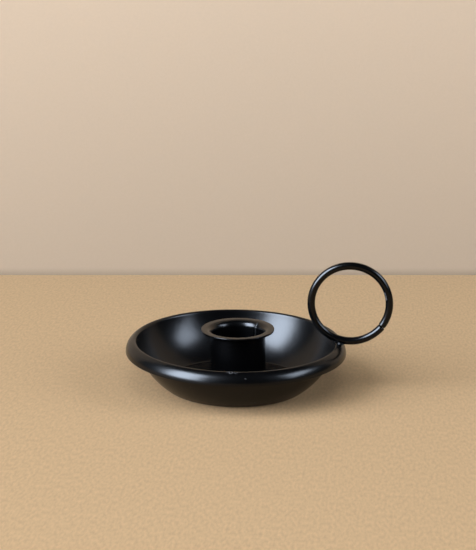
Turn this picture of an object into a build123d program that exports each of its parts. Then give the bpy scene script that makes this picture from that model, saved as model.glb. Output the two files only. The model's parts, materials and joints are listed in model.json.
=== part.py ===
"""Chamberstick with a finger ring.

A pressed steel dish with a turned-over rim, a flanged candle socket welded to its floor, and a ring of
round wire welded on top of the rim. Millimetres, +Z up, origin on the table under the dish's middle.
"""

import os
from math import acos, cos, degrees, radians, sin

from build123d import *

os.makedirs("parts", exist_ok=True)

# Dish: one pressed sheet, measured on its inside and on the top of its rim
dish_diameter = 100.0  # across the turned-over rim
dish_height = 21.5  # from the table to the top of the rim
dish_sheet = 0.9
foot_radius = 2.0  # between the floor and the wall
wall_radius = 36.0  # of the one arc from the foot to the mouth
wall_lean = 15.5  # degrees from upright, at the mouth
mouth_bend_inside = 0.35  # under the sheet, on the hollow side of the bend
rim_slope = 28.0  # degrees below level, where the mouth's bend runs into the rim's round
rim_radius = 5.7
rim_skirt = 0.3  # straight edge below the rim's round
lip_round_share = 0.33  # of the sheet

# Candle socket: a rolled and welded tube, its top flared to a flange
bore_diameter = 23.2  # takes a 22 mm taper candle
socket_sheet = 0.9
socket_length = 25.6
flange_diameter = 33.1
flare_bend_inside = 1.5  # under the flange, on the hollow side of the bend
flange_round_share = 0.28  # of the sheet
seam_angle = 51.4  # degrees from the finger ring, towards the back
seam_bead_radius = 0.5
seam_bead_height = 0.15

# Tack welds at the foot of the socket
tack_count = 3
tack_start_angle = 90.0
tack_length = 4.4
tack_leg = 1.3
tack_end_share = 0.55  # of the leg, for the round at each end

# Finger ring: bent wire with butted ends, standing upright on the rim
wire_diameter = 3.45
ring_bore = 31.5
ring_seat_angle = 13.4  # degrees from the crest of the rim, outwards, to where the ring touches
weld_root_gap = 0.1
butt_angle = -35.0  # degrees round the ring, from its outermost point, to where the wire's ends meet
butt_gap = 0.25
wire_end_break = 0.25

# Weld between the ring and the rim
weld_radius = 2.4
weld_half_height = 1.1
weld_rise = 0.4  # of the bead's middle above the rim

# Dish: the inside line runs from the axis, over the rim's crest and down to the lip
rim_edge = dish_diameter / 2
lean = radians(wall_lean)
slope = radians(rim_slope)
mouth_bend_radius = mouth_bend_inside + dish_sheet
crest_x = rim_edge - rim_radius + (rim_radius - mouth_bend_radius) * sin(slope)
crest_centre_z = dish_height - mouth_bend_radius
lip_height = crest_centre_z - (rim_radius - mouth_bend_radius) * cos(slope) - rim_skirt
mouth_x = crest_x - mouth_bend_radius * cos(lean)
mouth_z = crest_centre_z + mouth_bend_radius * sin(lean)

# The wall runs smoothly out of the foot's round, so the two arcs together make up its rise and its reach
wall_rise = mouth_z - dish_sheet
foot_turn = acos((wall_rise - foot_radius + wall_radius * sin(lean)) / (wall_radius - foot_radius))
wall_reach = wall_radius * (cos(lean) - sin(foot_turn)) + foot_radius * sin(foot_turn)
floor_edge = mouth_x - wall_reach

with BuildPart() as dish:
    with BuildSketch(Plane.YZ) as dish_section:
        with BuildLine():
            floor = Line((0, dish_sheet), (floor_edge, dish_sheet))
            foot = JernArc(floor @ 1, floor % 1, foot_radius, degrees(foot_turn))
            wall = JernArc(foot @ 1, foot % 1, wall_radius, 90 - wall_lean - degrees(foot_turn))
            mouth = JernArc(wall @ 1, wall % 1, mouth_bend_radius, wall_lean - 90 - rim_slope)
            rim = JernArc(mouth @ 1, mouth % 1, rim_radius, rim_slope - 90)
            Line(rim @ 1, (rim_edge, lip_height))
            offset(amount=dish_sheet, side=Side.RIGHT)
        make_face()
        lip_middle = (rim_edge - dish_sheet / 2, lip_height)
        lip_corners = dish_section.vertices().sort_by_distance(lip_middle)[:2]
        fillet(lip_corners, lip_round_share * dish_sheet)
    revolve(axis=Axis.Z)
dish.part.label = "dish"
export_step(dish.part, "parts/dish.step")

# Candle socket: the tube stands on the dish's floor
bore_radius = bore_diameter / 2
socket_radius = bore_radius + socket_sheet
flange_top = dish_sheet + socket_length
flare_bend_radius = flare_bend_inside + socket_sheet
bore_top = flange_top - flare_bend_radius

with BuildPart() as candle_socket:
    with BuildSketch(Plane.XZ) as socket_section:
        with BuildLine():
            bore_wall = Line((bore_radius, dish_sheet), (bore_radius, bore_top))
            flare = JernArc(bore_wall @ 1, bore_wall % 1, flare_bend_radius, -90)
            Line(flare @ 1, (flange_diameter / 2, flange_top))
            offset(amount=socket_sheet, side=Side.RIGHT)
        make_face()
        flange_edge = (flange_diameter / 2, flange_top - socket_sheet / 2)
        edge_corners = socket_section.vertices().sort_by_distance(flange_edge)[:2]
        fillet(edge_corners, flange_round_share * socket_sheet)
    revolve(axis=Axis.Z)
candle_socket.part.label = "candle_socket"
export_step(candle_socket.part, "parts/candle_socket.step")

# Seam weld: a low rounded bead down the whole straight bore
with BuildPart() as socket_seam_weld:
    with BuildSketch(Plane.XY.offset(dish_sheet)):
        with PolarLocations(bore_radius + seam_bead_radius - seam_bead_height, 1, seam_angle):
            Circle(seam_bead_radius)
    extrude(amount=bore_top - dish_sheet)
    add(candle_socket.part, mode=Mode.SUBTRACT)
socket_seam_weld.part.label = "socket_seam_weld"
export_step(socket_seam_weld.part, "parts/socket_seam_weld.step")

# Tack welds: short rounded beads in the corner between the tube and the floor
tack_turn = degrees(tack_length / socket_radius)

with BuildPart() as tack_bead:
    with BuildSketch(Plane.XZ):
        with BuildLine():
            crown = CenterArc((socket_radius, dish_sheet), tack_leg, 0, 90)
            Polyline(crown @ 1, (socket_radius, dish_sheet), crown @ 0)
        make_face()
    revolve(axis=Axis.Z, revolution_arc=tack_turn)
    crown_ends = tack_bead.edges().filter_by(GeomType.CIRCLE).sort_by(SortBy.RADIUS)[:2]
    fillet(crown_ends, tack_end_share * tack_leg)

with BuildPart() as socket_tack_welds:
    with PolarLocations(0, tack_count, tack_start_angle - tack_turn / 2):
        add(tack_bead.part)
socket_tack_welds.part.label = "socket_tack_welds"
export_step(socket_tack_welds.part, "parts/socket_tack_welds.step")

# Finger ring: its outside stands off the rim's crest by the weld's root gap
seat = radians(ring_seat_angle)
wire_radius = wire_diameter / 2
ring_radius = ring_bore / 2 + wire_radius
seat_reach = mouth_bend_radius + weld_root_gap + wire_radius + ring_radius
ring_centre = Vector(
    crest_x + seat_reach * sin(seat),
    0,
    crest_centre_z + seat_reach * cos(seat),
)
butt_turn = degrees(butt_gap / ring_radius)
wire_start = radians(butt_angle + butt_turn / 2)
wire_plane = Plane(
    ring_centre,
    x_dir=(-cos(wire_start), 0, -sin(wire_start)),
    z_dir=(-sin(wire_start), 0, cos(wire_start)),
)

with BuildPart() as finger_ring:
    with BuildSketch(wire_plane):
        with Locations((-ring_radius, 0)):
            Circle(wire_radius)
    revolve(axis=Axis(ring_centre, (0, -1, 0)), revolution_arc=360 - butt_turn)
    wire_ends = finger_ring.faces().filter_by(GeomType.PLANE)
    fillet(wire_ends.edges(), wire_end_break)
finger_ring.part.label = "finger_ring"
export_step(finger_ring.part, "parts/finger_ring.step")

# Ring weld: a flattened bead round the touching point, shaped by the ring and the rim that it joins
weld_reach = mouth_bend_radius + weld_rise
weld_centre = Vector(
    crest_x + weld_reach * sin(seat),
    0,
    crest_centre_z + weld_reach * cos(seat),
)
weld_plane = Plane(weld_centre, x_dir=(0, 1, 0), z_dir=(cos(seat), 0, -sin(seat)))

with BuildPart() as ring_weld:
    with BuildSketch(weld_plane):
        Ellipse(weld_radius, weld_half_height)
        split(bisect_by=Plane.YZ)
    revolve(axis=Axis(weld_centre, weld_plane.y_dir))
    add(finger_ring.part, mode=Mode.SUBTRACT)
    add(dish.part, mode=Mode.SUBTRACT)
ring_weld.part.label = "ring_weld"
export_step(ring_weld.part, "parts/ring_weld.step")

print("floor edge", floor_edge, "ring centre", ring_centre, "overall height", ring_centre.Z + ring_radius + wire_radius)
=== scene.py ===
# %% [markdown]
# # A black chamberstick, dressed for its photograph
# The real object is a low candle holder: a pressed steel dish, a flanged tube for the candle and a finger
# ring of bent wire, welded together and painted black. The CAD model gives every size. This lesson rebuilds
# each piece as a fine smooth surface, because black satin paint is seen almost only by its reflections, and
# a reflection shows every facet of a coarse mesh.

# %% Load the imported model
import json
from math import acos, atan, ceil, cos, pi, radians, sin, tan

import bpy
import numpy as np
from mathutils import Matrix, Vector


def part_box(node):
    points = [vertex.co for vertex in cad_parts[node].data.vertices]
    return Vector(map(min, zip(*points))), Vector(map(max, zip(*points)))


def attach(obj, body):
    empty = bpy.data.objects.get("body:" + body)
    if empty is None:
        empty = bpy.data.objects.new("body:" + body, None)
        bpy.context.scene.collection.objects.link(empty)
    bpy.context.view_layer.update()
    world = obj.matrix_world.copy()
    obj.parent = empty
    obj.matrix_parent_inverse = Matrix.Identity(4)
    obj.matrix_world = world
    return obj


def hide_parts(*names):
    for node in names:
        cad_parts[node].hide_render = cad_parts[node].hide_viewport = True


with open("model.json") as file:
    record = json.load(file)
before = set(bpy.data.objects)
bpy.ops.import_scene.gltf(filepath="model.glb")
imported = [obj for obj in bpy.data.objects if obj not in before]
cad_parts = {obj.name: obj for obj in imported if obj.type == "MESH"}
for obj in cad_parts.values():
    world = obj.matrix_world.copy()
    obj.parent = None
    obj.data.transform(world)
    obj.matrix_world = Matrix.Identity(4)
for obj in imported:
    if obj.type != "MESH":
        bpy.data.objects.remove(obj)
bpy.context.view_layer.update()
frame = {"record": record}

mm = 0.001

# %% [markdown]
# ## The camera
# A photograph's camera can be found by trial in the viewport, or worked out. Here the round rim gave it: the
# height of its ellipse against its width is the sine of the camera's elevation, and the difference between
# the near and the far half gives the distance. The camera then turns until the middle of the rim's top lands
# on its measured pixel, so no lens shift is needed and every other view frames the object as well.

# %% Camera at the photograph's viewing angle
image_width = 476
image_height = 550
focal_pixels = 1615.5
target_pixel_x = 236.07
target_pixel_y = 338.82
camera_distance = 733.8 * mm
camera_elevation = radians(17.69)
camera_azimuth = radians(5.4)
camera_roll = radians(0.72)
sensor = 36.0
nearest_seen = 10 * mm

target = Vector((0, 0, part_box("dish")[1].z))
back = Vector((
    sin(camera_azimuth) * cos(camera_elevation),
    -cos(camera_azimuth) * cos(camera_elevation),
    sin(camera_elevation),
))
aim = (-back).to_track_quat("-Z", "Y").to_matrix()
roll = Matrix.Rotation(camera_roll, 3, "Z")
tilt = Matrix.Rotation(atan((target_pixel_y - image_height / 2) / focal_pixels), 3, "X")
swing = Matrix.Rotation(atan((target_pixel_x - image_width / 2) / focal_pixels), 3, "Y")
camera_turn = (aim @ roll @ tilt @ swing).to_4x4()

camera_data = bpy.data.cameras.new("photo_camera")
camera_data.sensor_width = sensor
camera_data.lens = focal_pixels / image_height * sensor
camera_data.clip_start = nearest_seen
camera = bpy.data.objects.new("photo_camera", camera_data)
camera.matrix_world = Matrix.Translation(target + back * camera_distance) @ camera_turn
bpy.context.scene.collection.objects.link(camera)
bpy.context.scene.camera = camera
print("camera at", [round(v / mm) for v in camera.location], "mm, lens", round(camera_data.lens, 1))

# %% [markdown]
# ## From arrays to a mesh
# Blender can spin or sweep a curve with modifiers. Here every piece is instead a grid of points computed by
# numpy in one go: rows follow a section, columns go round or along. The faces only join each point to its
# neighbours, so one helper can skin any grid. A pole is a single point that closes a row of columns with a
# fan of triangles.

# %% Skin a grid of points
def skin(rows, columns, wrap_rows):
    """Quads between neighbouring rows and columns. Point (i, j) has number i * columns + j. Columns wrap
    round, and rows do too when the section is a closed outline."""
    last = rows if wrap_rows else rows - 1
    i, j = np.meshgrid(np.arange(last), np.arange(columns), indexing="ij")
    below = (i + 1) % rows
    beside = (j + 1) % columns
    corners = (i * columns + j, i * columns + beside, below * columns + beside, below * columns + j)
    return np.stack(corners, axis=-1).reshape(-1, 4)


print("an open grid of 3 rows and 8 columns has", len(skin(3, 8, False)), "quads")


# %% Close a shell
def shell(grid, wrap_rows=False, poles=None):
    """Points, quads and fan triangles of one closed shell. The grid has one row for each point of the
    section. Poles, if given, are the two points that close the first and the last row. The volume between
    the origin and the faces, a sixth of the sum of a . (b x c) over their triangles, is negative when the
    faces point inwards, and then they are turned round."""
    rows, columns = grid.shape[:2]
    points = grid.reshape(-1, 3)
    quads = skin(rows, columns, wrap_rows)
    fans = np.empty((0, 3), dtype=int)
    if poles is not None:
        here = np.arange(columns)
        after = (here + 1) % columns
        first_pole = np.full(columns, len(points))
        last_row = (rows - 1) * columns
        fans = np.vstack((
            np.stack((first_pole, after, here), axis=-1),
            np.stack((first_pole + 1, last_row + here, last_row + after), axis=-1),
        ))
        points = np.vstack((points, poles))
    triangles = np.vstack((quads[:, [0, 1, 2]], quads[:, [0, 2, 3]], fans))
    a, b, c = points[triangles[:, 0]], points[triangles[:, 1]], points[triangles[:, 2]]
    if (a * np.cross(b, c)).sum() < 0:
        quads = quads[:, ::-1]
        fans = fans[:, ::-1]
    return points, quads, fans


# %% Turn shells into a piece
def make_piece(name, shells, material, *nodes):
    """One object at the origin made of one or more shells, shaded smooth, that stands for the named CAD
    nodes. Each shell's faces count on from the points of the shells before it."""
    points = np.vstack([part[0] for part in shells])
    starts = np.cumsum([0] + [len(part[0]) for part in shells])
    quads = np.vstack([part[1] + start for start, part in zip(starts, shells)])
    fans = np.vstack([part[2] + start for start, part in zip(starts, shells)])
    mesh = bpy.data.meshes.new(name)
    mesh.from_pydata(points, [], quads.tolist() + fans.tolist())
    mesh.polygons.foreach_set("use_smooth", np.ones(len(mesh.polygons), dtype=bool))
    mesh.materials.append(material)
    mesh.update()
    piece = bpy.data.objects.new(name, mesh)
    bpy.context.scene.collection.objects.link(piece)
    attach(piece, "root")
    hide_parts(*nodes)
    print(name, len(points), "points,", 2 * len(quads) + len(fans), "triangles")
    return piece


def store(piece, name, values):
    """Keeps one number for each point under a name, where the paint can read it."""
    layer = piece.data.attributes.new(name, "FLOAT", "POINT")
    layer.data.foreach_set("value", np.asarray(values, dtype=np.float32))
    strongest = np.max(values)
    marked = np.count_nonzero(values > strongest / 2)
    print(piece.name, name, "up to", round(float(strongest), 2), "and over half of it on", marked, "points")


# %% [markdown]
# ## Satin black paint
# The paint is a thin sprayed film: nearly black, smooth to the touch, with a faint orange peel that breaks
# the light into a fine grain. One flat black would look like a hole in the picture. So a shader group makes
# the film once, with its mottled gloss and its peel, and every piece places that group with values of its
# own. Nodes can be placed by hand in the shader editor. A few helpers do the same here, so that each group
# reads like a recipe.

# %% Node helpers
def set_input(tree, socket, value):
    """Links an output socket to an input, or sets the input to a plain number or colour."""
    if isinstance(value, bpy.types.NodeSocket):
        tree.links.new(value, socket)
    else:
        socket.default_value = value


def add_node(tree, kind, settings=None, **inputs):
    """A node with its settings made and its named inputs linked or set. An input's name is written with
    underscores for its spaces."""
    node = tree.nodes.new(kind)
    for key, value in (settings or {}).items():
        setattr(node, key, value)
    for label, value in inputs.items():
        set_input(tree, node.inputs[label.replace("_", " ")], value)
    return node


def calculate(tree, operation, *numbers):
    """The result of a Math node whose inputs, in their order, are linked or set."""
    node = add_node(tree, "ShaderNodeMath", {"operation": operation})
    for socket, number in zip(node.inputs, numbers):
        set_input(tree, socket, number)
    return node.outputs[0]


def ramp(tree, value, start, end, low=0.0, high=1.0, smooth=True):
    """The result of a Map Range node: low up to the start, high from the end on, and between them an S-curve
    or, if it isn't smooth, a straight line."""
    shape = {"interpolation_type": "SMOOTHSTEP" if smooth else "LINEAR"}
    span = {"From_Min": start, "From_Max": end, "To_Min": low, "To_Max": high}
    return add_node(tree, "ShaderNodeMapRange", shape, Value=value, **span).outputs["Result"]


def noise(tree, place, scale, detail):
    """The value of a Noise Texture at a place."""
    return add_node(tree, "ShaderNodeTexNoise", Vector=place, Scale=scale, Detail=detail).outputs["Fac"]


def blend(tree, kind, mask, first, second):
    """The result of a Mix node for colours ("RGBA") or numbers ("FLOAT"): the first where the mask is 0, the
    second where it is 1. The node keeps separate sockets for each kind."""
    first_input, result = {"FLOAT": (2, 0), "RGBA": (6, 2)}[kind]
    node = add_node(tree, "ShaderNodeMix", {"data_type": kind}, Factor=mask)
    set_input(tree, node.inputs[first_input], first)
    set_input(tree, node.inputs[first_input + 1], second)
    return node.outputs[result]


def new_group(name, inputs, outputs):
    """An empty shader group with named sockets. Inputs map a name to its socket type and default value."""
    group = bpy.data.node_groups.new(name, "ShaderNodeTree")
    for label, (kind, value) in inputs.items():
        group.interface.new_socket(label, in_out="INPUT", socket_type=kind).default_value = value
    for label, kind in outputs.items():
        group.interface.new_socket(label, in_out="OUTPUT", socket_type=kind)
    return group, group.nodes.new("NodeGroupInput"), group.nodes.new("NodeGroupOutput")


# %% Paint film group
mottle_scale = 90.0
peel_scale = 1100.0
runs_scale = 330.0
runs_share = 5.0


def paint_film_group():
    """Colour, gloss and height of the sprayed film. Broad noise mottles the roughness and the black a little.
    The height is fine noise, the orange peel, plus a few times as much of a slower noise, where the film ran
    thicker."""
    group, given, made = new_group(
        "satin_paint_film",
        {
            "Position": ("NodeSocketVector", (0, 0, 0)),
            "Roughness": ("NodeSocketFloat", 0.3),
            "Mottle": ("NodeSocketFloat", 0.05),
            "Black": ("NodeSocketColor", (0.0006, 0.0006, 0.0007, 1)),
            "Worn Black": ("NodeSocketColor", (0.0015, 0.0015, 0.0016, 1)),
        },
        {"Color": "NodeSocketColor", "Roughness": "NodeSocketFloat", "Height": "NodeSocketFloat"},
    )
    place = given.outputs["Position"]
    broad = noise(group, place, mottle_scale, detail=3.0)
    peel = noise(group, place, peel_scale, detail=1.0)
    runs = noise(group, place, runs_scale, detail=1.0)
    centred = calculate(group, "SUBTRACT", broad, 0.5)
    gloss = calculate(group, "MULTIPLY_ADD", centred, given.outputs["Mottle"], given.outputs["Roughness"])
    tint = blend(group, "RGBA", broad, given.outputs["Black"], given.outputs["Worn Black"])
    height = calculate(group, "MULTIPLY_ADD", runs, runs_share, peel)
    group.links.new(tint, made.inputs["Color"])
    group.links.new(gloss, made.inputs["Roughness"])
    group.links.new(height, made.inputs["Height"])
    return group


paint_film = paint_film_group()
print("paint group", [socket.name for socket in paint_film.interface.items_tree])

# %% [markdown]
# ## Wear and dust
# Where paint is rubbed it doesn't fade evenly: it breaks into specks and loses its gloss. Such marks could be
# painted on a texture by hand. Here each mesh stores how worn and how dusty each of its points is, and a
# second group turns the two numbers into ragged specks and flecks, so the marks stay sharp at any distance.

# %% Wear group
rag_scale = 1500.0
bare_from = 0.45
bare_full = 0.58
fleck_scale = 230.0


def wear_group():
    """Where the film is rubbed through or carries a fleck of dust. The stored wear times noise is cut off
    softly near a half, so that a worn place gets ragged edges. Flecks are small balls round scattered points,
    seen where the surface cuts them, and their size follows the stored dust. The stronger of the two is the
    mask between the film and the bare, dull colour."""
    group, given, made = new_group(
        "worn_and_dusty",
        {
            "Position": ("NodeSocketVector", (0, 0, 0)),
            "Worn": ("NodeSocketFloat", 0.0),
            "Dust": ("NodeSocketFloat", 0.0),
            "Color": ("NodeSocketColor", (0.001, 0.001, 0.001, 1)),
            "Bare Color": ("NodeSocketColor", (0.12, 0.115, 0.115, 1)),
            "Roughness": ("NodeSocketFloat", 0.25),
            "Bare Roughness": ("NodeSocketFloat", 0.6),
        },
        {"Color": "NodeSocketColor", "Roughness": "NodeSocketFloat"},
    )
    place = given.outputs["Position"]
    specks = noise(group, place, rag_scale, detail=2.0)
    ragged = calculate(group, "MULTIPLY", given.outputs["Worn"], specks)
    bare = ramp(group, ragged, bare_from, bare_full)
    scattered = add_node(group, "ShaderNodeTexVoronoi", Vector=place, Scale=fleck_scale)
    fleck = calculate(group, "LESS_THAN", scattered.outputs["Distance"], given.outputs["Dust"])
    mask = calculate(group, "MAXIMUM", bare, fleck)
    tint = blend(group, "RGBA", mask, given.outputs["Color"], given.outputs["Bare Color"])
    gloss = blend(group, "FLOAT", mask, given.outputs["Roughness"], given.outputs["Bare Roughness"])
    group.links.new(tint, made.inputs["Color"])
    group.links.new(gloss, made.inputs["Roughness"])
    return group


wear_and_dust = wear_group()
print("wear group", [socket.name for socket in wear_and_dust.interface.items_tree])

# %% [markdown]
# ## One paint for each piece
# The dish and the tube were sprayed alike. The thin wire came out a little glossier, and the welds, which are
# rougher below the paint, a little duller. So one function builds the material, and each piece gets its own
# gloss and depth of peel.

# %% Painted materials
film_ior = 1.3


def painted(name, roughness, peel_depth):
    """Black paint on one piece: the shared film, worn and dusted by the shared wear where the mesh says so,
    with the piece's own gloss and depth of orange peel."""
    material = bpy.data.materials.new(name)
    material.use_nodes = True
    tree = material.node_tree
    surface = tree.nodes["Principled BSDF"]
    surface.inputs["IOR"].default_value = film_ior
    place = add_node(tree, "ShaderNodeTexCoord").outputs["Object"]
    worn = add_node(tree, "ShaderNodeAttribute", {"attribute_name": "worn"}).outputs["Fac"]
    dust = add_node(tree, "ShaderNodeAttribute", {"attribute_name": "dust"}).outputs["Fac"]
    film = add_node(tree, "ShaderNodeGroup", {"node_tree": paint_film}, Position=place, Roughness=roughness)
    wear = add_node(
        tree, "ShaderNodeGroup", {"node_tree": wear_and_dust}, Position=place, Worn=worn, Dust=dust,
        Color=film.outputs["Color"], Roughness=film.outputs["Roughness"],
    )
    bump = add_node(tree, "ShaderNodeBump", Height=film.outputs["Height"], Strength=1.0, Distance=peel_depth)
    tree.links.new(wear.outputs["Color"], surface.inputs["Base Color"])
    tree.links.new(wear.outputs["Roughness"], surface.inputs["Roughness"])
    tree.links.new(bump.outputs["Normal"], surface.inputs["Normal"])
    print(name, "roughness", roughness, "peel", round(peel_depth / mm, 4), "mm")
    return material


dish_paint = painted("dish_paint", roughness=0.25, peel_depth=0.004 * mm)
socket_paint = painted("socket_paint", roughness=0.24, peel_depth=0.004 * mm)
ring_paint = painted("ring_paint", roughness=0.2, peel_depth=0.003 * mm)
weld_paint = painted("weld_paint", roughness=0.3, peel_depth=0.006 * mm)

# %% [markdown]
# ## Sheet metal sections
# Both the dish and the socket are sheet of one thickness, so each is drawn as the line along the middle of
# its sheet. The line is a chain of straights and true arcs, each starting where the last one ended. Half the
# sheet to the left and half to the right of the line make the two faces, and a squared round closes the cut
# edge. A Solidify modifier could thicken a surface in the same way, but it gives no say in the edge's shape.

# %% A line of straights and bends
fewest_steps = 3
steepest_step = radians(6)


def bent_line(start, heading, moves, spacing):
    """Points along a line, and the unit normal on its left at each point. A move (L, 0) runs straight for
    length L. A move (R, T) is an arc of radius R that turns by angle T, to the left when T is positive: with
    n the left normal and s the sign of T, the arc's centre is start + s R n, and its points are
    centre - s R n while n turns by equal steps."""
    points, normals = [], []
    start = np.array(start, dtype=float)
    for size, turn in moves:
        length = size * abs(turn) if turn else size
        count = max(fewest_steps, ceil(length / spacing), ceil(abs(turn) / steepest_step))
        share = np.arange(count + 1)[:, None] / count
        angle = heading + turn * share
        left = np.hstack((-np.sin(angle), np.cos(angle)))
        if turn:
            side = np.sign(turn)
            path = start + side * size * (left[0] - left)
        else:
            path = start + share * size * np.array([cos(heading), sin(heading)])
        points.append(path[:-1])
        normals.append(left[:-1])
        start, heading = path[-1], heading + turn
    return np.vstack((*points, path[-1:])), np.vstack((*normals, left[-1:]))


# %% The sheet's edge, and the section spun round
edge_squareness = 0.45
edge_points = 13


def cut_edge(middle, normal, outward, half):
    """The squared round at a sheet's edge: a superellipse, half * cos^p along the normal and half * sin^p
    outwards, from the sheet's left face to its right face. The power p is the squareness."""
    turn = np.linspace(0, pi, edge_points)[1:-1, None]
    sideways = np.sign(np.cos(turn)) * np.abs(np.cos(turn)) ** edge_squareness
    return middle + half * (sideways * normal + (np.sin(turn) ** edge_squareness - 1) * outward)


def outward_of(normal):
    """The direction along a line whose left normal is given."""
    return np.array([normal[1], -normal[0]])


def spin(section, columns):
    """The section turned round the Z axis: x = r cos a, y = r sin a, with one column for each angle a."""
    angle = np.linspace(0, 2 * pi, columns, endpoint=False)
    r, z = section[:, :1], section[:, 1:]
    return np.stack((r * np.cos(angle), r * np.sin(angle), z + 0 * angle), axis=-1)


# %% [markdown]
# ## The dish
# One disc of sheet, pressed: a flat floor, a small round at the foot, a wall that curves up in one arc, a
# tight bend at the mouth, and a rim that is turned out and down like a quarter of a tube. A lathe-like spin
# fits it best. The foot's turn isn't chosen but solved, so that the wall's arc runs smoothly into the mouth.

# %% Dish sizes
dish_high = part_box("dish")[1]
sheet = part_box("candle_socket")[0].z  # the socket stands on the dish's floor
half_sheet = sheet / 2
rim_edge = dish_high.x
dish_top = dish_high.z
foot_radius = 2.0 * mm
wall_radius = 36.0 * mm
wall_lean = radians(15.5)
mouth_bend = 0.35 * mm + sheet
rim_slope = radians(28.0)
rim_radius = 5.7 * mm
rim_skirt = 0.3 * mm
dish_spacing = 0.6 * mm
dish_columns = 320

crest_x = rim_edge - rim_radius + (rim_radius - mouth_bend) * sin(rim_slope)
mouth_x = crest_x - mouth_bend * cos(wall_lean)
wall_rise = dish_top - mouth_bend * (1 - sin(wall_lean)) - sheet
foot_turn = acos((wall_rise - foot_radius + wall_radius * sin(wall_lean)) / (wall_radius - foot_radius))
wall_reach = wall_radius * (cos(wall_lean) - sin(foot_turn)) + foot_radius * sin(foot_turn)
floor_radius = mouth_x - wall_reach
print("flat floor", round(2 * floor_radius / mm, 1), "mm across")

# %% Dish section and mesh
dish_line, dish_normals = bent_line(
    (0, half_sheet),
    0,
    [
        (floor_radius, 0),
        (foot_radius + half_sheet, foot_turn),
        (wall_radius + half_sheet, pi / 2 - wall_lean - foot_turn),
        (mouth_bend - half_sheet, wall_lean - pi / 2 - rim_slope),
        (rim_radius - half_sheet, rim_slope - pi / 2),
        (rim_skirt, 0),
    ],
    dish_spacing,
)
dish_lip = cut_edge(dish_line[-1], dish_normals[-1], outward_of(dish_normals[-1]), half_sheet)
dish_section = np.vstack((
    (dish_line + half_sheet * dish_normals)[1:],
    dish_lip,
    (dish_line - half_sheet * dish_normals)[:0:-1],
))
dish_poles = np.array([(0, 0, sheet), (0, 0, 0)])
dish_grid = spin(dish_section, dish_columns)
dish = make_piece("dish_pressing", [shell(dish_grid, poles=dish_poles)], dish_paint, "dish")

# %% [markdown]
# ## Wear on the rim
# The rim's crest is what the dish is picked up and set down by, so its paint is rubbed there. On the
# photographed one, the front of the crest is speckled over about a centimetre, and just below it the rim's
# face has a scuff. The outside of the bowl, which nobody wipes, carries a few flecks of dust. Each place is a
# soft bell on the surface, stored in the mesh, and the wear group breaks it up.

# %% Where the dish is worn
# Angle round the dish, radius, height, reach and strength of each place
rubbed_places = [
    (radians(-87), 46.9 * mm, 21.4 * mm, 5.6 * mm, 0.94),
    (radians(-80), 49.2 * mm, 19.2 * mm, 2.2 * mm, 0.9),
]
rub_narrowing = 4
dust_size = 0.06
at_poles = (0, 0)


def rubbed(points):
    """How worn each point is: for each rubbed place, its strength times exp(-q^4), where q is the distance
    from the place over its reach. Up and down the section, the narrowing first multiplies the distance."""
    turn = np.arctan2(points[..., 1], points[..., 0])
    radius = np.hypot(points[..., 0], points[..., 1])
    worn = np.zeros(turn.shape)
    for angle, place_radius, place_z, reach, strength in rubbed_places:
        along = (turn - angle) * place_radius
        aside = rub_narrowing * np.hypot(radius - place_radius, points[..., 2] - place_z)
        worn = np.maximum(worn, strength * np.exp(-(np.hypot(along, aside) / reach) ** 4))
    return worn


outside = np.zeros(dish_grid.shape[:2])
outside[len(dish_line):] = dust_size
store(dish, "worn", np.append(rubbed(dish_grid).ravel(), at_poles))
store(dish, "dust", np.append(outside.ravel(), at_poles))

# %% [markdown]
# ## The candle socket
# A strip rolled to a tube, welded along its seam and flared at the top. It was set down by hand before it was
# welded: in the photograph its foot stands a good millimetre off the dish's middle, and it leans away from
# the ring by about one degree. The CAD tube is the straight one that was meant. The `settle` function moves
# every point of the tube and of its welds alike, which keeps them together without turning any object.

# %% Socket sizes
socket_low, socket_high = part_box("candle_socket")
candle_bore = next(mount for mount in frame["record"]["mounts"] if mount["kind"] == "bore")
bore_radius = candle_bore["dims"]["r_mm"] * mm
socket_sheet = 0.9 * mm
flare_bend_inside = 2.0 * mm
socket_columns = 320
socket_spacing = 0.6 * mm
half_wall = socket_sheet / 2
flare_bend = flare_bend_inside + half_wall
print("bore", round(2 * bore_radius / mm, 1), "mm, flange", round(2 * socket_high.x / mm, 1), "mm across")

# %% How the socket was set down
foot_shift = 1.28 * mm
flange_shift = 0.69 * mm
flange_tilt = radians(1.1)


def settle(points):
    """The socket as it was welded. With h the share of the height from the foot to the flange, x moves by
    foot_shift (1 - h) + flange_shift h, and z rises by h x tan(tilt), so the foot stays flat on the floor."""
    x, y, z = points[..., 0], points[..., 1], points[..., 2]
    height = (z - socket_low.z) / (socket_high.z - socket_low.z)
    across = x + foot_shift * (1 - height) + flange_shift * height
    return np.stack((across, y, z + height * x * tan(flange_tilt)), axis=-1)


# %% Socket section and mesh
socket_line, socket_normals = bent_line(
    (bore_radius + half_wall, socket_low.z),
    pi / 2,
    [
        (socket_high.z - half_wall - flare_bend - socket_low.z, 0),
        (flare_bend, -pi / 2),
        (socket_high.x - bore_radius - half_wall - flare_bend, 0),
    ],
    socket_spacing,
)
flange_edge = cut_edge(socket_line[-1], socket_normals[-1], outward_of(socket_normals[-1]), half_wall)
foot_edge = cut_edge(socket_line[0], -socket_normals[0], -outward_of(socket_normals[0]), half_wall)
socket_section = np.vstack((
    (socket_line + half_wall * socket_normals)[1:-1],
    flange_edge,
    (socket_line - half_wall * socket_normals)[-2:0:-1],
    foot_edge,
))
socket_grid = settle(spin(socket_section, socket_columns))
make_piece("socket_tube", [shell(socket_grid, wrap_rows=True)], socket_paint, "candle_socket")

# %% [markdown]
# ## The seam down the bore
# Where the strip's two edges meet, a thin weld runs down the inside of the tube and over its flare. It was
# drawn along in one pass, so its ridge carries small even ripples and wanders a little from a straight line.
# A bump map could fake it, but in a glossy bore its own shape catches the light better.

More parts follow.
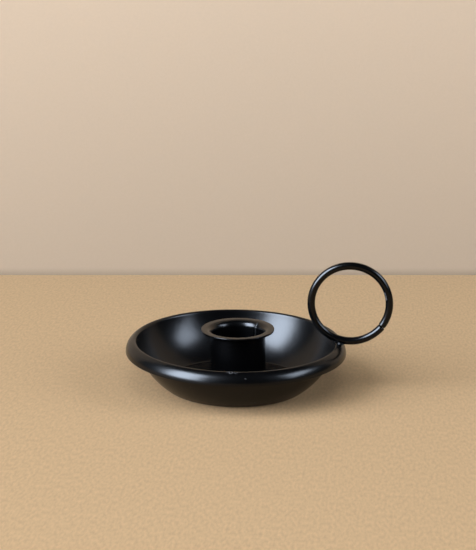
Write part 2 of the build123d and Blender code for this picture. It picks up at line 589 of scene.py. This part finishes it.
# %% Seam ridge
seam_angle = radians(51.4)
seam_half_width = 0.5 * mm
seam_height = 0.17 * mm
seam_root = 0.1 * mm
seam_spacing = 0.12 * mm
seam_columns = 20
flare_share = 0.75
tip_share = 0.02
ripple_length = 0.7 * mm
ripple_share = 0.22
swell_length = 2.7 * ripple_length
swell_share = 0.1
wander = 0.06 * mm
wander_length = 2.3 * mm
shake_length = 0.9 * mm
shake_share = 0.6


def seam_ridge():
    """A half-round ridge carried up the bore's face. At each point of the path, t is the direction round the
    bore and n the face's normal. The ridge's points are path + t width cos(v) + n height sin(v), and below
    the face they stop at the root's depth. Sines of the length run along the path make the ripples in the
    height, the swell of the width and the wander."""
    straight = socket_high.z - socket_sheet - flare_bend_inside - socket_low.z
    path, normal = bent_line(
        (bore_radius, socket_low.z),
        pi / 2,
        [(straight, 0), (flare_bend_inside + socket_sheet, -flare_share * pi / 2)],
        seam_spacing,
    )
    run = np.concatenate(([0], np.cumsum(np.hypot(*np.diff(path, axis=0).T))))[:, None]
    from_end = np.minimum(run, run[-1] - run)
    taper = np.sqrt(np.clip(from_end / seam_half_width, tip_share, 1))
    height = seam_height * taper * (1 + ripple_share * np.sin(2 * pi * run / ripple_length))
    width = seam_half_width * taper * (1 + swell_share * np.sin(2 * pi * run / swell_length))
    drift = wander * (np.sin(run / wander_length) + shake_share * np.sin(run / shake_length + 1))
    v = np.linspace(0, 2 * pi, seam_columns, endpoint=False)
    aside = drift + width * np.cos(v)
    above = np.maximum(height * np.sin(v), -seam_root)
    reach = path[:, :1] + above * normal[:, :1]
    x = reach * cos(seam_angle) - aside * sin(seam_angle)
    y = reach * sin(seam_angle) + aside * cos(seam_angle)
    z = path[:, 1:] + above * normal[:, 1:]
    grid = settle(np.stack((x, y, z), axis=-1))
    return shell(grid, poles=grid[[0, -1]].mean(axis=1))


make_piece("socket_seam_ridge", [seam_ridge()], weld_paint, "socket_seam_weld")

# %% [markdown]
# ## The tack welds
# Three short beads hold the tube's foot to the floor. Each is a drop of weld metal that ran into the corner:
# round on its free side, pressed flat against the tube and the floor, and a little lumpy along its length.
# One function makes a bead at any angle, so the three differ only in the phase of their lumps.

# %% Tack beads
tack_angles = [radians(90), radians(210), radians(330)]
tack_length = 4.4 * mm
tack_leg = 1.3 * mm
tack_fill_share = 0.92
tack_root = 0.12 * mm
tack_rows = 60
tack_columns = 36
swell_turns = 9
swell_lump_share = 0.07
twist_turns = 17
twist_lump_share = 0.05


def tack_bead(angle):
    """One bead in the corner. Its section is a circle of radius r round the corner, whose parts behind the
    tube's face and below the floor stop at the root's depth. Along the bead, r is the filled leg times
    (1 - s^4)^(1/2), with s from -1 to 1, and sines of s make the lumps."""
    corner = bore_radius + socket_sheet
    s = np.linspace(-1, 1, tack_rows + 2)[1:-1, None]
    v = np.linspace(0, 2 * pi, tack_columns, endpoint=False)
    swell = swell_lump_share * np.sin(swell_turns * s + 3 * angle)
    twist = twist_lump_share * np.sin(twist_turns * s + angle) * np.sin(2 * v)
    r = tack_fill_share * tack_leg * np.sqrt(1 - s**4) * (1 + swell + twist)
    out = corner + np.maximum(r * np.cos(v), -tack_root)
    up = socket_low.z + np.maximum(r * np.sin(v), -tack_root)
    half_turn = tack_length / corner / 2
    turn = angle + s * half_turn
    grid = np.stack((out * np.cos(turn), out * np.sin(turn), up + 0 * turn), axis=-1)
    ends = angle + np.array([-1, 1]) * half_turn
    tips = np.stack((corner * np.cos(ends), corner * np.sin(ends), np.full(2, socket_low.z)), axis=-1)
    return shell(settle(grid), poles=settle(tips))


tack_shells = [tack_bead(angle) for angle in tack_angles]
make_piece("socket_tack_beads", tack_shells, weld_paint, "socket_tack_welds")

# %% [markdown]
# ## The finger ring
# A length of round wire, bent to a ring until its ends all but meet. The joint is left open by a hair at the
# lower right: its gap opens a little towards the outside, and the lower end springs out by a fifth of a
# millimetre. Higher up on the inside, something has rubbed a small flat through the paint. A torus has no
# ends, so the wire is carried round by its own formula.

# %% Ring sizes
ring_low, ring_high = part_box("finger_ring")
wire_radius = (ring_high.y - ring_low.y) / 2
ring_centre = (ring_low + ring_high) / 2
ring_radius = (ring_high.x - ring_low.x) / 2 - wire_radius
ring_rows = 480
wire_columns = 64
butt_angle = radians(-35.0)
butt_gap = 0.25 * mm
wire_end_break = 0.25 * mm
gap_opening = 0.25 * mm
gap_length = 1.0 * mm
end_spring = 0.2 * mm
spring_length = 3.5 * mm
scar_angle = radians(15.5)
scar_half_length = 3.0 * mm
scar_wire_angle = radians(-142)
scar_half_width = radians(33)
scar_depth = 0.1 * mm
scar_strength = 1.15
print("ring", round(2 * (ring_radius - wire_radius) / mm, 1), "mm inside")


# %% Ring wire
def wire_ring():
    """A circle of the wire's radius carried round the ring: x = (R + w cos v) cos u, z = (R + w cos v) sin u
    and y = w sin v, with u round the ring from one butted end to the other. Over the last stretch to each
    end, w shrinks along a quarter circle, which breaks the cut edge, and u gives way on the outside, which
    opens the gap. The scar is where w sinks by a fourth-power bell. Gives the shell and, for each point, how
    worn it is."""
    half_gap = butt_gap / ring_radius / 2
    u = np.linspace(butt_angle + half_gap, butt_angle + 2 * pi - half_gap, ring_rows)[:, None]
    v = np.linspace(-pi, pi, wire_columns, endpoint=False)
    from_start = ring_radius * (u - u[0])
    from_last = ring_radius * (u[-1] - u)
    depth = np.clip(1 - np.minimum(from_start, from_last) / wire_end_break, 0, 1)
    along_scar = ring_radius * (u - scar_angle) / scar_half_length
    across_scar = (v - scar_wire_angle) / scar_half_width
    worn = np.exp(-along_scar**4 - across_scar**4)
    w = wire_radius - wire_end_break * (1 - np.sqrt(1 - depth**2)) - scar_depth * worn
    opening = gap_opening / ring_radius / 2 * (1 + np.cos(v)) / 2
    turn = u + opening * (np.exp(-from_start / gap_length) - np.exp(-from_last / gap_length))
    reach = ring_radius + end_spring * np.exp(-from_last / spring_length) + w * np.cos(v)
    wire = np.stack((reach * np.cos(turn), w * np.sin(v) + 0 * turn, reach * np.sin(turn)), axis=-1)
    grid = np.array(ring_centre) + wire
    return shell(grid, poles=grid[[0, -1]].mean(axis=1)), scar_strength * np.append(worn.ravel(), at_poles)


ring_shell, ring_worn = wire_ring()
ring = make_piece("ring_wire", [ring_shell], ring_paint, "finger_ring")
store(ring, "worn", ring_worn)

# %% [markdown]
# ## The weld between ring and rim
# The ring was tacked to the rim with one short bead. The molten metal wetted the wire and the rim and froze
# in two lumps, a small one towards the socket and a longer one outside it, and the paint later ran over both.
# Sculpting would do as well. A ball with a few soft lumps keeps the bead in numbers, seated by the rim's own
# sizes.

# %% Ring bead sizes
seat_angle = radians(13.4)
bead_radius = 2.3 * mm
bead_half_height = 1.05 * mm
bead_rise = 0.4 * mm
bead_rows = 90
bead_columns = 128
bead_grain_share = 0.02
bead_grain_turns = (14, 5, 11)
# Height and breadth of each lump, and its middle as outward, along and upward shares
bead_lumps = [
    (0.22, 0.22, (-0.75, -0.65, 0.2)),
    (0.24, 0.32, (0.6, -0.8, 0.0)),
    (-0.2, 0.2, (-0.3, -0.95, 0.1)),
    (0.1, 0.35, (0.3, 0.95, 0.1)),
    (0.08, 0.3, (-0.6, 0.8, 0.0)),
    (-0.1, 0.25, (0.95, 0.3, 0.0)),
]


# %% Ring bead
def ring_bead():
    """A flattened ball round the touching point, with lumps. With d the ball's unit direction, the radius is
    scaled by 1 + sum of a exp(-|d - c|^2 / (2 b^2)) over the lumps, each with height a, breadth b and middle
    c, and by a fine grain of sines."""
    upward = np.array([sin(seat_angle), 0, cos(seat_angle)])
    outward = np.array([cos(seat_angle), 0, -sin(seat_angle)])
    along = np.array([0, 1, 0])
    crest = np.array([crest_x, 0, dish_top - mouth_bend])
    middle = crest + (mouth_bend + bead_rise) * upward
    polar = np.linspace(0, pi, bead_rows + 2)[1:-1, None]
    round_about = np.linspace(0, 2 * pi, bead_columns, endpoint=False)
    d = np.stack((
        np.sin(polar) * np.cos(round_about),
        np.sin(polar) * np.sin(round_about),
        np.cos(polar) + 0 * round_about,
    ), axis=-1)
    outward_turns, along_turns, cross_turns = bead_grain_turns
    slanting = np.sin(outward_turns * d[..., 0] + along_turns * d[..., 1])
    scale = 1 + bead_grain_share * slanting * np.sin(cross_turns * d[..., 1])
    for amount, breadth, centre in bead_lumps:
        scale = scale + amount * np.exp(-((d - centre) ** 2).sum(axis=-1) / (2 * breadth**2))
    sizes = np.array([bead_radius, bead_radius, bead_half_height])
    bead_axes = np.stack((outward, along, upward))
    grid = middle + (scale[..., None] * d * sizes) @ bead_axes
    return shell(grid, poles=grid[[0, -1]].mean(axis=1))


make_piece("ring_weld_bead", [ring_bead()], weld_paint, "ring_weld")

# %% [markdown]
# ## Floor and backdrop
# The holder stands on a plain pale paper with a second one upright behind it. One curved sweep would do, but
# the photograph has a level edge between the two, so they are two flat sheets, and the upright one starts
# where the camera's ray through that edge meets the floor. Both are clear from behind, so the backdrop never
# hides the holder in another view. It stands for a wall much farther off, so it throws no light on the floor.

# %% Where the backdrop stands
floor_reach = 4.0
wall_reach_left = 0.42
wall_reach_right = 0.6
wall_height = 0.45
wall_foot_row = 275


def floor_point(pixel_x, pixel_y):
    """Where the camera's ray through a pixel meets the floor."""
    ray = Vector((pixel_x - image_width / 2, image_height / 2 - pixel_y, -focal_pixels))
    ray = camera.matrix_world.to_3x3() @ ray
    return camera.location - ray * camera.location.z / ray.z


wall_foot = floor_point(image_width / 2, wall_foot_row)
wall_along = (floor_point(image_width, wall_foot_row) - floor_point(0, wall_foot_row)).normalized()
wall_left = wall_foot - wall_along * wall_reach_left
wall_right = wall_foot + wall_along * wall_reach_right
backdrop_rise = Vector((0, 0, wall_height))
print("backdrop foot", [round(v / mm) for v in wall_foot], "along", [round(v, 3) for v in wall_along])

# %% Paper
grain_scale = 900.0
grain_stretch = (1.0, 0.36, 1.0)
foot_from = -1 * mm
foot_to = 5 * mm
shade_to = 170 * mm
paper_roughness = 0.9
paper_gloss = 0.1


def one_sided(name, colour, grain, painted_foot_shade, painted_top_light):
    """A matt paper seen from the front and clear from behind. Its colour is scaled by
    1 + grain (noise - 0.5), by painted shade that darkens it over the first millimetres above the floor and
    rises to 1, and by painted light that goes from 1 to the top's share higher up, as a standing sheet is
    lit."""
    material = bpy.data.materials.new(name)
    material.use_nodes = True
    tree = material.node_tree
    surface = tree.nodes["Principled BSDF"]
    place = add_node(tree, "ShaderNodeTexCoord").outputs["Object"]
    drawn_out = add_node(tree, "ShaderNodeMapping", Vector=place, Scale=grain_stretch)
    fibres = noise(tree, drawn_out.outputs["Vector"], grain_scale, detail=1.0)
    speckle = ramp(tree, fibres, 0.0, 1.0, 1 - grain / 2, 1 + grain / 2, smooth=False)
    high = add_node(tree, "ShaderNodeSeparateXYZ", Vector=place).outputs["Z"]
    # Painted shade near the floor and painted light higher up, multiplied into the paper's colour
    foot = ramp(tree, high, foot_from, foot_to, painted_foot_shade, 1.0)
    upper = ramp(tree, high, 0.0, shade_to, 1.0, painted_top_light, smooth=False)
    level = calculate(tree, "MULTIPLY", speckle, calculate(tree, "MULTIPLY", foot, upper))
    paper = add_node(tree, "ShaderNodeVectorMath", {"operation": "SCALE"}, Scale=level)
    paper.inputs[0].default_value = colour
    tree.links.new(paper.outputs["Vector"], surface.inputs["Base Color"])
    surface.inputs["Roughness"].default_value = paper_roughness
    surface.inputs["Specular IOR Level"].default_value = paper_gloss
    clear = add_node(tree, "ShaderNodeBsdfTransparent")
    behind = add_node(tree, "ShaderNodeNewGeometry").outputs["Backfacing"]
    both = add_node(tree, "ShaderNodeMixShader", Fac=behind)
    tree.links.new(surface.outputs["BSDF"], both.inputs[1])
    tree.links.new(clear.outputs["BSDF"], both.inputs[2])
    tree.links.new(both.outputs["Shader"], tree.nodes["Material Output"].inputs["Surface"])
    return material


floor_colour = (0.643, 0.392, 0.189)
backdrop_colour = (0.53, 0.405, 0.28)
floor_paper = one_sided("floor_paper", floor_colour, grain=0.36, painted_foot_shade=1.0, painted_top_light=1.0)
# The backdrop's colour carries painted shade at its foot and painted light towards its top
backdrop_paper = one_sided("backdrop_paper", backdrop_colour, grain=0.05, painted_foot_shade=0.72, painted_top_light=1.3)
print("papers", floor_paper.name, backdrop_paper.name)


# %% Floor and backdrop sheets
def stage_sheet(name, corners, material):
    """One four-cornered sheet of the stage."""
    mesh = bpy.data.meshes.new(name)
    mesh.from_pydata(corners, [], [(0, 1, 2, 3)])
    mesh.materials.append(material)
    piece = bpy.data.objects.new(name, mesh)
    bpy.context.scene.collection.objects.link(piece)
    print(name, [round(v, 2) for v in piece.dimensions], "m")
    return piece


stage_sheet("floor", [
    (-floor_reach, -floor_reach, 0),
    (floor_reach, -floor_reach, 0),
    (floor_reach, floor_reach, 0),
    (-floor_reach, floor_reach, 0),
], floor_paper)
backdrop_corners = [wall_left, wall_right, wall_right + backdrop_rise, wall_left + backdrop_rise]
backdrop = stage_sheet("backdrop", backdrop_corners, backdrop_paper)
backdrop.visible_diffuse = False

# %% [markdown]
# ## Light
# A black glossy thing shows what it mirrors, so each light is placed by its reflection: where it lies on the
# bowl and the rim says in which direction the light stands. Two large soft panels, left and right, make the
# highlights, and a weak one overhead fills the shadows. Each side has two panels in almost one place. One
# lights the matt papers, and the other is only seen in the paint, because the highlights are brighter beside
# the floor than one panel could make them without burning out the floor. All of them fade towards their
# edges, which makes the highlights soft, and a slanting curtain on the glossy ones gives the highlights their
# slanting ends.

# %% Fades and curtains
def fade_out(tree, place, share):
    """Full in the middle of the panel and falling smoothly to nothing over the outer share of each half. The
    place runs from 0 to 1 across the panel, so the distance from the middle is |place - 0.5|."""
    distance = calculate(tree, "ABSOLUTE", calculate(tree, "SUBTRACT", place, 0.5))
    return ramp(tree, distance, (1 - share) / 2, 0.5, 1.0, 0.0)


def curtain(tree, spot, level, slope, softness):
    """Nothing below a slanting line across the panel and full above it: a smooth step of y - level - slope x,
    with x and y measured from the panel's middle as shares of its width and height."""
    line = calculate(tree, "MULTIPLY_ADD", spot.outputs["X"], -slope, spot.outputs["Y"])
    middle = level + (1 - slope) / 2
    return ramp(tree, line, middle - softness, middle + softness)


# %% One soft panel
cool_white = (0.87, 1.0, 1.2)


def panel_light(name, middle, size, fades, brightness, for_gloss=False, overhead=False, slant=None):
    """A soft panel that faces the object, upright or, overhead, level. Its watts are brightness x pi x area,
    so brightness is how white its middle looks. It fades towards its sides and towards its top and bottom, as
    cloth fades away from the lamp behind it. A panel for gloss lights nothing matt and is only seen in
    reflections. A slant gives a curtain's level, slope and softness."""
    middle = Vector(middle)
    normal = Vector((0, 0, 1)) if overhead else Vector((middle.x, middle.y, 0)).normalized()
    upward = Vector((0, 1, 0)) if overhead else Vector((0, 0, 1))
    data = bpy.data.lights.new(name, "AREA")
    data.shape = "RECTANGLE"
    data.size, data.size_y = size
    data.energy = brightness * pi * data.size * data.size_y
    data.color = cool_white
    data.use_nodes = True
    tree = data.node_tree
    place = add_node(tree, "ShaderNodeNewGeometry").outputs["Parametric"]
    spot = add_node(tree, "ShaderNodeSeparateXYZ", Vector=place)
    sides = fade_out(tree, spot.outputs["X"], fades[0])
    ends = fade_out(tree, spot.outputs["Y"], fades[1])
    level = calculate(tree, "MULTIPLY", sides, ends)
    if slant:
        level = calculate(tree, "MULTIPLY", level, curtain(tree, spot, *slant))
    tree.links.new(level, tree.nodes["Emission"].inputs["Strength"])
    light = bpy.data.objects.new(name, data)
    axes = Matrix((upward.cross(normal), upward, normal)).transposed()
    light.matrix_world = Matrix.Translation(middle) @ axes.to_4x4()
    light.visible_diffuse = not for_gloss
    light.visible_glossy = for_gloss
    light.visible_camera = False
    bpy.context.scene.collection.objects.link(light)
    print(name, "faces", [round(-v, 2) for v in normal], "watts", round(data.energy, 1))


# %% Left, right and overhead
left_middle = (-1.33, -0.893, 1.184)
left_gloss_middle = (-1.32, -0.886, 1.184)
left_size = (1.85, 2.27)
left_fades = (0.57, 0.25)
left_slant = (-1.105, -4.215, 0.6)
left_brightness = 7.5
left_gloss_brightness = 34.5
panel_light("left_window", left_middle, left_size, left_fades, left_brightness)
panel_light(
    "left_window_gloss", left_gloss_middle, left_size, left_fades, left_gloss_brightness,
    for_gloss=True, slant=left_slant,
)

right_middle = (1.552, -0.28, 0.824)
right_gloss_middle = (1.542, -0.278, 0.824)
right_size = (1.27, 1.63)
right_fades = (0.6, 0.35)
right_slant = (-0.108, 0.532, 0.088)
right_brightness = 4.2
right_gloss_brightness = 15.2
panel_light("right_window", right_middle, right_size, right_fades, right_brightness)
panel_light(
    "right_window_gloss", right_gloss_middle, right_size, right_fades, right_gloss_brightness,
    for_gloss=True, slant=right_slant,
)

ceiling_middle = (0, -0.9, 1.5)
ceiling_size = (1.6, 1.6)
ceiling_fades = (0.5, 0.5)
ceiling_brightness = 2.2
panel_light("ceiling", ceiling_middle, ceiling_size, ceiling_fades, ceiling_brightness, overhead=True)

# %% A dim room around it
room_glow = 0.03
world = bpy.data.worlds.new("room")
world.use_nodes = True
world.node_tree.nodes["Background"].inputs["Color"].default_value = (1.0, 1.0, 1.0, 1)
world.node_tree.nodes["Background"].inputs["Strength"].default_value = room_glow
bpy.context.scene.world = world
bpy.context.scene.view_settings.view_transform = "Standard"
print("room glow", room_glow)
